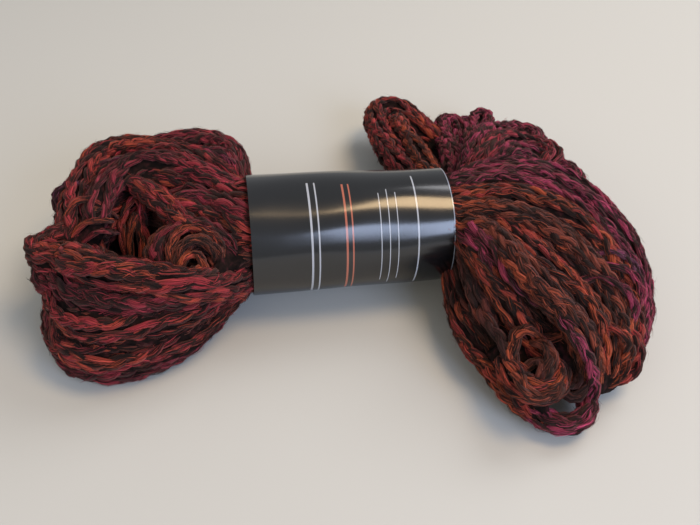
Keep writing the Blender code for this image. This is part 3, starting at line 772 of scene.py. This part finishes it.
def tube(middle, radius, outward):
    """The rings of a slightly flat tube round a middle line, drawn in to a point at both ends."""
    ahead = unit(np.gradient(middle, axis=0))
    one = unit(outward - (outward * ahead).sum(1, keepdims=True) * ahead)
    two = np.cross(ahead, one)
    radius = radius.copy()
    radius[0] = radius[-1] = POINTED
    turns = np.arange(PLY_SIDES) * math.tau / PLY_SIDES
    deep = PLY_FLAT * np.cos(turns)[None, :, None]
    wide = np.sin(turns)[None, :, None] / PLY_FLAT
    ring = one[:, None, :] * deep + two[:, None, :] * wide
    rings = middle[:, None, :] + radius[:, None, None] * ring
    rings[:, :, 2] = np.maximum(rings[:, :, 2], PRESSED_FLAT)
    return rings[None]


# %% [markdown]
# ## The wool
#
# Plied wool is matt. Its fibres run along the ply, so the streaks of dye, the small changes of
# tone and the bump are all drawn out along it. An image would need a photograph of wool and would
# blur close up, so noise stretched along the ply's own map is used. Light that grazes wool
# brightens its fine hairs, which is what the sheen of the shader is for. A ply is 7 mm round. Its
# streaks are about 12 mm long and 0.9 mm wide, and its fibres are drawn 0.3 mm wide, ten times as
# coarse as real ones, so that they show.

# %% The patterns that follow the fibres
STREAK_LONG, STREAKS_ROUND = 12.0, 8.0
FIBRE_LONG, FIBRES_ROUND = 6.0, 26.0
wool_settings = {
    "Roughness": 0.92, "Specular IOR Level": 0.2,
    "Sheen Weight": 0.34, "Sheen Roughness": 0.5, "Sheen Tint": rgba("#C88C84"),
}
wool, shader = new_material("plied_wool_blend", wool_settings)
tree = wool.node_tree
dye = add(tree, "ShaderNodeAttribute", {"attribute_name": "dye"})
fibre_uv = add(tree, "ShaderNodeUVMap", {"uv_map": "fibre"})
place = add(tree, "ShaderNodeTexCoord")
streak_place = add(
    tree, "ShaderNodeMapping",
    Vector=fibre_uv.outputs["UV"], Scale=(1.0 / STREAK_LONG, STREAKS_ROUND, 1.0),
)
streaks = add(
    tree, "ShaderNodeTexNoise", {"noise_dimensions": "2D"},
    Vector=streak_place.outputs["Vector"], Scale=1.0, Detail=2.0, Roughness=0.5,
)
fibre_place = add(
    tree, "ShaderNodeMapping",
    Vector=fibre_uv.outputs["UV"], Scale=(1.0 / FIBRE_LONG, FIBRES_ROUND, 1.0),
)
fibres = add(
    tree, "ShaderNodeTexNoise", {"noise_dimensions": "2D"},
    Vector=fibre_place.outputs["Vector"], Scale=1.0, Detail=3.0, Roughness=0.65,
)
print("a streak is", STREAK_LONG, "mm long, a fibre", FIBRE_LONG, "mm")

# %% How much dye shows, and the colour of the wool
# The share of the point is moved by the streaks and by the single fibres, up and down by half of
# these, and a soft step turns it into bare or dyed wool.
STREAK_GAIN, FRAY_GAIN = 2.4, 1.8
BARE_BELOW, FULL_ABOVE = 0.2, 0.92
multiply_add = {"operation": "MULTIPLY_ADD"}
streaked = add(
    tree, "ShaderNodeMath", multiply_add,
    i0=streaks.outputs["Fac"], i1=STREAK_GAIN, i2=-STREAK_GAIN / 2.0,
)
taken = add(
    tree, "ShaderNodeMath", {"operation": "ADD"}, i0=streaked.outputs[0], i1=dye.outputs["Alpha"]
)
frayed = add(
    tree, "ShaderNodeMath", multiply_add,
    i0=fibres.outputs["Fac"], i1=FRAY_GAIN, i2=-FRAY_GAIN / 2.0,
)
taken = add(tree, "ShaderNodeMath", {"operation": "ADD"}, i0=taken.outputs[0], i1=frayed.outputs[0])
cover = add(
    tree, "ShaderNodeMapRange", {"interpolation_type": "SMOOTHSTEP"},
    Value=taken.outputs[0], From_Min=BARE_BELOW, From_Max=FULL_ABOVE,
)
# The undyed wool changes its brown in clumps of about 11 mm.
clumps = add(tree, "ShaderNodeTexNoise", Vector=place.outputs["Object"], Scale=90.0, Detail=2.0)
undyed = add(
    tree, "ShaderNodeValToRGB",
    stops=tuple(zip((0.36, 0.5, 0.62), UNDYED)), Fac=clumps.outputs["Fac"],
)
dyed = add(
    tree, "ShaderNodeMix", {"data_type": "RGBA", "blend_type": "MIX"},
    i0=cover.outputs["Result"], i6=undyed.outputs["Color"], i7=dye.outputs["Color"],
)
tone = add(
    tree, "ShaderNodeValToRGB",
    stops=((0.3, "#5E5654"), (0.5, "#BEB6B2"), (0.68, "#FFFFFF")), Fac=fibres.outputs["Fac"],
)
tinted = add(
    tree, "ShaderNodeMix", {"data_type": "RGBA", "blend_type": "MULTIPLY"},
    i0=1.0, i6=dyed.outputs[2], i7=tone.outputs["Color"],
)
bump = add(tree, "ShaderNodeBump", Strength=0.8, Distance=0.0004, Height=fibres.outputs["Fac"])
tree.links.new(tinted.outputs[2], shader.inputs["Base Color"])
tree.links.new(bump.outputs["Normal"], shader.inputs["Normal"])
print(wool.name, "has", len(tree.nodes), "nodes")

# %% [markdown]
# ## Laying the yarn
#
# The hank could be one mesh, but a mesh of this size is slow to edit and to export, so its yarns
# are shared out among seven pieces by place. A rope between two others goes by both their names.

# %% Lay the yarn of the bun and of the fan
SEED = 11
# A strand thinner than this is a yarn pulled tight, and its plies are thinner too.
FULL_STRAND = 4.0
PATTERN_REACH = 900.0
PIECES = {
    "bun_yarn_low": (
        "foot", "low", "middle", "front_high", "foot_low", "low_middle", "middle_front_high",
    ),
    "bun_yarn_high": (
        "front_rope", "second_tip", "back_high", "top_arch", "back_lobe", "top_inner",
        "inner_wall", "bridge_low", "bridge_high", "sweep_1", "sweep_2", "sweep_3", "front_run",
        "swirl_wide", "swirl_small", "front_high_second_tip", "top_arch_back_lobe",
        "top_arch_top_inner", "back_high_middle",
    ),
    "bun_yarn_laid": (
        "inner_1", "inner_2", "inner_3", "inner_4", "inner_5", "hairpin", "hairpin_2", "shade_1",
        "shade_2", "shade_3", "swirl_1", "swirl_2", "swirl_3", "swirl_4", "swirl_5", "edge_1",
        "edge_2", "tip_wrap", "dip", "front_join", "mouth_fill", "plum_arch", "gap_1", "gap_2",
        "lobe_1", "lobe_2", "sweep_4",
    ),
    "fan_yarn_back": (
        "ear", "ear_inner", "knob_long", "knob_small", "arch", "arch_inner", "arch_outer",
        "arch_arch_inner", "arch_inner_arch_outer", "knob_long_knob_small", "arch_knob_small",
    ),
    "fan_yarn_rim": (
        "rim_low", "rim_outer", "rim", "rim_inner", "arch_outer_rim_outer", "rim_low_rim_outer",
        "rim_outer_rim", "rim_rim_inner", "patch_1", "patch_2", "patch_3", "turn_2",
    ),
    "fan_yarn_crown": (
        "crown_outer", "crown", "crown_inner", "valley", "rim_inner_crown_outer",
        "crown_outer_crown", "crown_crown_inner", "crown_inner_valley", "valley_front_loop",
        "turn_1",
    ),
    "fan_yarn_front": (
        "front_loop", "curl", "front", "under_outer", "under_inner", "under_outer_under_inner",
        "under_outer_front", "curl_1", "curl_2", "curl_3", "curl_4", "dark_1", "mag_1", "mag_2",
    ),
}
rng = np.random.default_rng(SEED)
runs = {piece: [] for piece in PIECES}
length = 0.0
for piece, names in PIECES.items():
    tubes = Strands(PLY_SIDES, closed=True)
    for rope in (ropes[name] for name in names):
        for line, outward, along in yarns_of(rope, rng):
            full = min(1.0, rope["thick"] / FULL_STRAND)
            plies, face, side = plies_of(line, outward, along, full, rng)
            dyes = [ply_dye(rope["shade"], ply, along, rng) for ply in range(PLIES)]
            for a, b in shown_runs(line):
                for (middle, radius), dye in zip(plies, dyes):
                    run = (middle[a:b], radius[a:b], face[a:b], side[a:b], dye[a:b])
                    # Each ply starts at its own place in the pattern, so that no two look alike.
                    start = rng.uniform(0.0, PATTERN_REACH)
                    tubes.add(tube(*run[:3]), along[a:b] + start, dye[None, a:b])
                    runs[piece].append(run)
                length += (along[b - 1] - along[a]) * MM
    tubes.build(piece, wool)
print("yarn that shows:", round(length, 1), "m")

# %% [markdown]
# ## The loose fibres
#
# Wool is hairy. Most of its loose fibres lie close along their ply and cross over its edge, which
# softens every streak, and a few stand off it. Blender's hair could grow them, but it would have to
# become a mesh for the export, so each is laid as a thin ribbon of a few faces. They are drawn 0.1
# to 0.2 mm wide, some five times as coarse as real ones, because finer ones wouldn't show.

# %% The loose fibres
FIBRES_EACH_MM = 3.9
# Ranges in millimetres, and the share of its width that a ribbon has at its four places.
FIBRE_WIDE = (0.10, 0.22)
FIBRE_REACH = (3.0, 8.0)
FIBRE_TAPER = np.array((0.5, 1.0, 0.9, 0.2))
FIBRE_LIFT = 0.03
FIBRE_LOWEST = 0.12
# This share stands off its ply by the first range, and the others lie close, by the second.
STANDS_OFF = 0.16
OFF_BY, CLOSE_BY = (0.5, 1.6), (0.0, 0.14)
# How far a fibre starts from the outer side of its ply, and how far it crosses over, in radians.
START_SPREAD, CROSS_SPREAD = 0.8, 0.5
# How a fibre's share of dye and its brightness differ from the ply's.
SHARE_SPREAD = 0.2
SHARE_LEAPS = (-0.6, 0.0, 0.0, 0.5)
BRIGHTNESS = (0.6, 1.3)
shares = np.linspace(0.0, 1.0, len(FIBRE_TAPER))
undyed_wool = np.array([linear(colour) for colour in UNDYED])


def at_places(values, places):
    """Values along a run at places between its points."""
    low = np.minimum(places.astype(int), len(values) - 2)
    part = (places - low).reshape(places.shape + (1,) * (values.ndim - 1))
    return values[low] * (1.0 - part) + values[low + 1] * part


def fibres_on(middle, radius, face, side, dye, rng):
    """Ribbons that lie along a ply, and their colours."""
    last = len(middle) - 1
    count = int(last * STEP * FIBRES_EACH_MM / PLIES)
    start = rng.uniform(0.0, last, count)[:, None]
    reach = rng.uniform(*FIBRE_REACH, count)[:, None] / STEP * rng.choice((-1.0, 1.0), (count, 1))
    places = np.clip(start + reach * shares, 0.0, last - 0.001)
    turn = rng.normal(0.0, START_SPREAD, count)[:, None]
    turn = turn + rng.normal(0.0, CROSS_SPREAD, count)[:, None] * shares
    off = rng.random(count)[:, None] < STANDS_OFF
    stand = np.where(off, rng.uniform(*OFF_BY, (count, 1)), rng.uniform(*CLOSE_BY, (count, 1)))
    lift = FIBRE_LIFT + stand * np.where(off, shares**1.5, np.sin(math.pi * shares))
    out = unit(
        np.cos(turn)[:, :, None] * at_places(face, places)
        + np.sin(turn)[:, :, None] * at_places(side, places)
    )
    spine = at_places(middle, places) + (at_places(radius, places) + lift)[:, :, None] * out
    spine[:, :, 2] = np.maximum(spine[:, :, 2], FIBRE_LOWEST)
    across = unit(np.cross(np.gradient(spine, axis=1), out))
    wide = rng.uniform(*FIBRE_WIDE, (count, 1, 1)) / 2.0 * FIBRE_TAPER[None, :, None]
    rings = np.stack([spine - across * wide, spine + across * wide], axis=2)
    taken = at_places(dye, start[:, 0])
    share = taken[:, 3] + rng.normal(0.0, SHARE_SPREAD, count) + rng.choice(SHARE_LEAPS, count)
    share = np.clip(share, 0.0, 1.0)[:, None]
    plain = undyed_wool[rng.integers(0, len(undyed_wool), count)]
    colour = (taken[:, :3] * share + plain * (1.0 - share)) * rng.uniform(*BRIGHTNESS, (count, 1))
    colour = np.concatenate([colour, np.ones((count, 1))], axis=1)
    return rings, np.repeat(colour[:, None, :], len(shares), axis=1)


# %% Grow the fibres on every ply that shows
# Single wool fibres have a faint shine of their own, so they are a little smoother than the ply.
fluff, shader = new_material("loose_wool_fibres", {"Roughness": 0.85, "Specular IOR Level": 0.2})
tree = fluff.node_tree
dye = add(tree, "ShaderNodeAttribute", {"attribute_name": "dye"})
tree.links.new(dye.outputs["Color"], shader.inputs["Base Color"])
for piece, found in runs.items():
    ribbons = Strands(2, closed=False)
    for run in found:
        rings, colours = fibres_on(*run, rng)
        ribbons.add(rings, shares, colours)
    ribbons.build(piece.replace("yarn", "fibres"), fluff)
print("fibres for each millimetre of yarn:", FIBRES_EACH_MM)

# %% [markdown]
# ## The dark between the turns
#
# Between the yarns of a real hank there are more yarns, seen only as darkness. They could be laid
# too, but nobody would see them, and they'd cost many more triangles. The imported solid, drawn in a
# little and finished in near-black browns as painted shade, with tufts of about 2 mm, gives just that.

# %% The yarn underneath
DRAWN_IN = 1.7 * MM
deselect()
under_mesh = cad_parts["hank"].data.copy()
under = new_object("inner_turns", under_mesh)
shape = merged_copy(under_mesh)
shape.to_mesh(under_mesh)
shape.free()
draw_in = under.modifiers.new("draw_in", "DISPLACE")
draw_in.strength = -DRAWN_IN
draw_in.mid_level = 0.0
bpy.context.view_layer.objects.active = under
under.select_set(True)
bpy.ops.object.modifier_apply(modifier="draw_in")
deselect()

# %% The material of the yarn underneath
dark, shader = new_material("shaded_inner_wool", {"Roughness": 1.0, "Specular IOR Level": 0.1})
tree = dark.node_tree
place = add(tree, "ShaderNodeTexCoord")
clumps = add(tree, "ShaderNodeTexNoise", Vector=place.outputs["Object"], Scale=420.0, Detail=3.0)
# These near-black browns are painted shade: the yarn inside is dyed like the rest and only lies in shadow.
tone = add(
    tree, "ShaderNodeValToRGB",
    stops=((0.38, "#110C0B"), (0.55, "#1E1311"), (0.66, "#34191B")), Fac=clumps.outputs["Fac"],
)
rough = add(tree, "ShaderNodeBump", Strength=0.6, Distance=0.0006, Height=clumps.outputs["Fac"])
tree.links.new(tone.outputs["Color"], shader.inputs["Base Color"])
tree.links.new(rough.outputs["Normal"], shader.inputs["Normal"])
under_mesh.materials.clear()
under_mesh.materials.append(dark)
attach(under, "root")
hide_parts("hank")
print("inner_turns:", len(under_mesh.polygons), "faces, drawn in by", round(DRAWN_IN / MM, 1), "mm")

# %% [markdown]
# ## The paper band
#
# Coated paper is printed, cut and glued into a tube. It is stiff, so it is never quite round, and
# its glued lap lies underneath. A sheet could be rolled up by a modifier, but an open cone of the
# band's two radii is a tube at once. Many rings along it take the slight dents, and a strip of it
# copied a little further out makes the lap.

# %% The band
PAPER = 0.35 * MM
LAP_TURN = math.radians(38)
BAND_SIDES, BAND_CUTS = 128, 23
band_middle = Vector((WAIST.x, WAIST.y, BAND_HEIGHT))
bpy.ops.mesh.primitive_cone_add(
    vertices=BAND_SIDES, radius1=BAND_RADIUS_LEFT, radius2=BAND_RADIUS_RIGHT, depth=BAND_LENGTH,
    end_fill_type="NOTHING", location=(0, 0, 0),
)
band = bpy.context.object
band.name = "paper_band"
turn_down = Matrix.Rotation(math.pi / 2.0, 4, "Y")
band.data.transform(Matrix.Translation(band_middle) @ turn_down)
bpy.ops.object.mode_set(mode="EDIT")
bpy.ops.mesh.select_all(action="DESELECT")
shape = bmesh.from_edit_mesh(band.data)
for edge in shape.edges:
    edge.select_set(abs(edge.verts[0].co.x - edge.verts[1].co.x) > BAND_LENGTH / 2.0)
bmesh.update_edit_mesh(band.data)
bpy.ops.mesh.subdivide(number_cuts=BAND_CUTS)
bpy.ops.mesh.select_all(action="DESELECT")
shape = bmesh.from_edit_mesh(band.data)
for face in shape.faces:
    spoke = face.calc_center_median() - band_middle
    face.select_set(abs(math.atan2(spoke.y, -spoke.z)) < LAP_TURN / 2.0)
bmesh.update_edit_mesh(band.data)
bpy.ops.mesh.duplicate()
grown = 1.0 + PAPER / BAND_RADIUS_LEFT
bpy.ops.transform.resize(value=(1.0, grown, grown), center_override=band_middle)
bpy.ops.object.mode_set(mode="OBJECT")
print("paper_band:", BAND_CUTS + 1, "rings of", BAND_SIDES, "faces")

# %% Its dents and its map
# Waves round the band: how deep in millimetres, how many round it, how they turn along it, and
# where they start.
DENT_COLUMNS = ("deep", "round", "along", "start")
DENTS = ((0.16, 3.0, 5.0, 0.0), (0.12, 5.0, -9.0, 1.0))
SMOOTH_BELOW = math.radians(40)
dents = [dict(zip(DENT_COLUMNS, row)) for row in DENTS]


def place_on_band(point):
    """How far along the band a point is, its angle up from the front, and the way outwards."""
    spoke = Vector((0.0, point.y - WAIST.y, point.z - BAND_HEIGHT))
    return (point.x - WAIST.x) / BAND_LENGTH + 0.5, math.atan2(spoke.z, -spoke.y), spoke.normalized()


for vert in band.data.vertices:
    share, angle, spoke = place_on_band(vert.co)
    depth = sum(
        dent["deep"] * math.sin(dent["round"] * angle + dent["along"] * share + dent["start"])
        for dent in dents
    )
    vert.co += spoke * depth * MM
layer = band.data.uv_layers.new(name="print")
for loop in band.data.loops:
    share, angle, _ = place_on_band(band.data.vertices[loop.vertex_index].co)
    layer.data[loop.index].uv = (share, angle / math.tau)
wall = band.modifiers.new("wall", "SOLIDIFY")
wall.thickness = PAPER
wall.offset = -1.0
bpy.ops.object.modifier_apply(modifier="wall")
bpy.ops.object.shade_smooth_by_angle(angle=SMOOTH_BELOW)
deselect()
print("paper_band:", len(band.data.polygons), "faces, with its wall and its lap")

# %% [markdown]
# ## The coated paper
#
# The paper is black with a clear coat, so it mirrors soft light in long strips. Its ink has worn
# off at the cut edge, where the bare paper shows. The print is plain rules in white and salmon,
# each at a place along the band and over a part of its round. They could be an image, but the
# script reads none, so each rule is where two comparisons on the band's own map both hold.

# %% The material of the band
WHITE_INK, SALMON_INK, BARE_PAPER = "#B2B6BE", "#B4654F", "#8C92A0"
DEGREES_ROUND = 360.0
# Ink and wear cover the paper by this share.
COVERING = 0.85
# Places are shares of the band's length, widths millimetres, and heights degrees up from the front.
RULE_COLUMNS = ("along", "wide", "lowest", "highest", "ink")
RULES = (
    (0.290, 0.7, -40, 92, WHITE_INK),
    (0.325, 0.5, -40, 92, WHITE_INK),
    (0.460, 0.7, -40, 88, SALMON_INK),
    (0.490, 0.5, -40, 88, SALMON_INK),
    (0.630, 0.3, -22, 74, WHITE_INK),
    (0.672, 0.3, -30, 78, WHITE_INK),
    (0.714, 0.3, -22, 74, WHITE_INK),
    (0.815, 0.5, -38, 96, WHITE_INK),
    (0.997, 0.35, -180, 180, BARE_PAPER),
    (0.988, 1.6, -24, -17, BARE_PAPER),
)
paper, shader = new_material("black_coated_paper", {"Specular IOR Level": 0.85})
tree = paper.node_tree
print_uv = add(tree, "ShaderNodeUVMap", {"uv_map": "print"})
place = add(tree, "ShaderNodeTexCoord")
split = add(tree, "ShaderNodeSeparateXYZ", Vector=print_uv.outputs["UV"])
# The coat's grain is drawn 0.7 mm wide, coarser than real, and the smears of handling 17 mm.
grain = add(tree, "ShaderNodeTexNoise", Vector=place.outputs["Object"], Scale=1500.0, Detail=2.0)
smears = add(tree, "ShaderNodeTexNoise", Vector=place.outputs["Object"], Scale=60.0, Detail=3.0)
black = add(
    tree, "ShaderNodeValToRGB",
    stops=((0.3, "#090A0C"), (0.7, "#0E0F12")), Fac=smears.outputs["Fac"],
)
ink = black.outputs["Color"]
compare, multiply = {"operation": "COMPARE"}, {"operation": "MULTIPLY"}
for rule in (dict(zip(RULE_COLUMNS, row)) for row in RULES):
    half_wide = rule["wide"] * MM / BAND_LENGTH / 2.0
    middle = (rule["highest"] + rule["lowest"]) / 2.0 / DEGREES_ROUND
    half_high = (rule["highest"] - rule["lowest"]) / 2.0 / DEGREES_ROUND
    beside = add(
        tree, "ShaderNodeMath", compare, i0=split.outputs["X"], i1=rule["along"], i2=half_wide
    )
    within = add(tree, "ShaderNodeMath", compare, i0=split.outputs["Y"], i1=middle, i2=half_high)
    both = add(tree, "ShaderNodeMath", multiply, i0=beside.outputs[0], i1=within.outputs[0])
    worn = add(tree, "ShaderNodeMath", multiply, i0=both.outputs[0], i1=COVERING)
    mixed = add(
        tree, "ShaderNodeMix", {"data_type": "RGBA", "blend_type": "MIX"},
        i0=worn.outputs[0], i6=ink, i7=rgba(rule["ink"]),
    )
    ink = mixed.outputs[2]
gloss = add(tree, "ShaderNodeMapRange", Value=smears.outputs["Fac"], To_Min=0.13, To_Max=0.22)
bump = add(tree, "ShaderNodeBump", Strength=0.05, Distance=0.0001, Height=grain.outputs["Fac"])
tree.links.new(ink, shader.inputs["Base Color"])
tree.links.new(gloss.outputs["Result"], shader.inputs["Roughness"])
tree.links.new(bump.outputs["Normal"], shader.inputs["Normal"])
band.data.materials.append(paper)
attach(band, "root")
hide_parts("band")
print("rules on the band:", len(RULES))

# %% [markdown]
# ## Floor, light and camera
#
# The floor is pale and plain. Point lamps would make hard dots on the coated paper, so all lamps
# are softboxes. A large cool one low in front and a smaller warm one above give the two soft strips
# on the paper. One behind at the right brightens the fluff along the edges, and a weak low one and
# a pale sky keep the shadows open.

# %% The floor and the sky
FLOOR_SIZE = 6.0
FLOOR_DOWN = 0.1 * MM
SKY_STRENGTH = 0.5
bpy.ops.mesh.primitive_plane_add(size=FLOOR_SIZE, location=(0, 0, -FLOOR_DOWN))
floor = bpy.context.object
floor.name = "studio_floor"
pale, _ = new_material("matt_studio_floor", {"Base Color": rgba("#C0C0BB"), "Roughness": 0.9})
floor.data.materials.append(pale)
world = bpy.data.worlds.new("studio")
bpy.context.scene.world = world
world.use_nodes = True
sky = world.node_tree.nodes["Background"]
sky.inputs["Color"].default_value = rgba("#E4E7EC")
sky.inputs["Strength"].default_value = SKY_STRENGTH
print("floor:", FLOOR_SIZE, "m wide, sky:", SKY_STRENGTH)

# %% The softboxes
# Each is a rectangular area light a metre away, which faces the hank. Sizes are metres, and powers
# watts.
SOFTBOX_COLUMNS = ("name", "direction", "size", "power", "colour")
SOFTBOXES = (
    ("cool_softbox", (0.42, -0.76, 0.48), (0.52, 0.46), 5.8, "#CBDCFF"),
    ("warm_softbox", (0.34, -0.16, 0.92), (0.34, 0.38), 4.3, "#FFDCAC"),
    ("back_softbox", (0.68, 0.4, 0.82), (0.5, 0.6), 4.2, "#FBFBFF"),
    ("low_softbox", (-0.6, -0.66, 0.45), (0.9, 0.6), 1.7, "#FFF4DE"),
)
for box in (dict(zip(SOFTBOX_COLUMNS, row)) for row in SOFTBOXES):
    lamp = bpy.data.lights.new(box["name"], "AREA")
    lamp.shape = "RECTANGLE"
    lamp.size, lamp.size_y = box["size"]
    lamp.energy = box["power"]
    lamp.color = linear(box["colour"])
    stand = new_object(box["name"], lamp)
    stand.location = Vector(box["direction"]).normalized()
    stand.rotation_euler = stand.location.to_track_quat("Z", "Y").to_euler()
print("softboxes:", len(SOFTBOXES))

# %% [markdown]
# The camera stands where the photo was taken from. It could be moved by eye until the picture fits,
# but the band is a tube of known size, so its edges and ends give the view: 42 degrees above the
# surface and 10.5 degrees to the left of straight on, from 0.33 m, with the horizon tilted by 3.

# %% The camera
VIEW_TURN = math.radians(-10.5)
VIEW_RISE = math.radians(42.0)
VIEW_TILT = math.radians(3.0)
VIEW_FAR = 0.3324
VIEW_TARGET = Vector((0.0039, 0.0113, 0.0))
VIEW_WIDE = math.radians(45.0)
back = Vector(
    (
        math.sin(VIEW_TURN) * math.cos(VIEW_RISE),
        -math.cos(VIEW_TURN) * math.cos(VIEW_RISE),
        math.sin(VIEW_RISE),
    )
)
lens = bpy.data.cameras.new("camera")
camera = new_object("camera", lens)
camera.location = WAIST + VIEW_TARGET + back * VIEW_FAR
aim = (-back).to_track_quat("-Z", "Y") @ Quaternion((0.0, 0.0, 1.0), VIEW_TILT)
camera.rotation_mode = "QUATERNION"
camera.rotation_quaternion = aim
SENSOR_WIDE = 36.0
lens.sensor_width = SENSOR_WIDE
lens.lens = SENSOR_WIDE / 2.0 / math.tan(VIEW_WIDE / 2.0)
lens.clip_start = 10 * MM
bpy.context.scene.camera = camera
bpy.context.scene.view_settings.view_transform = "Standard"
print("camera:", VIEW_FAR, "m away, lens", round(lens.lens, 1), "mm")
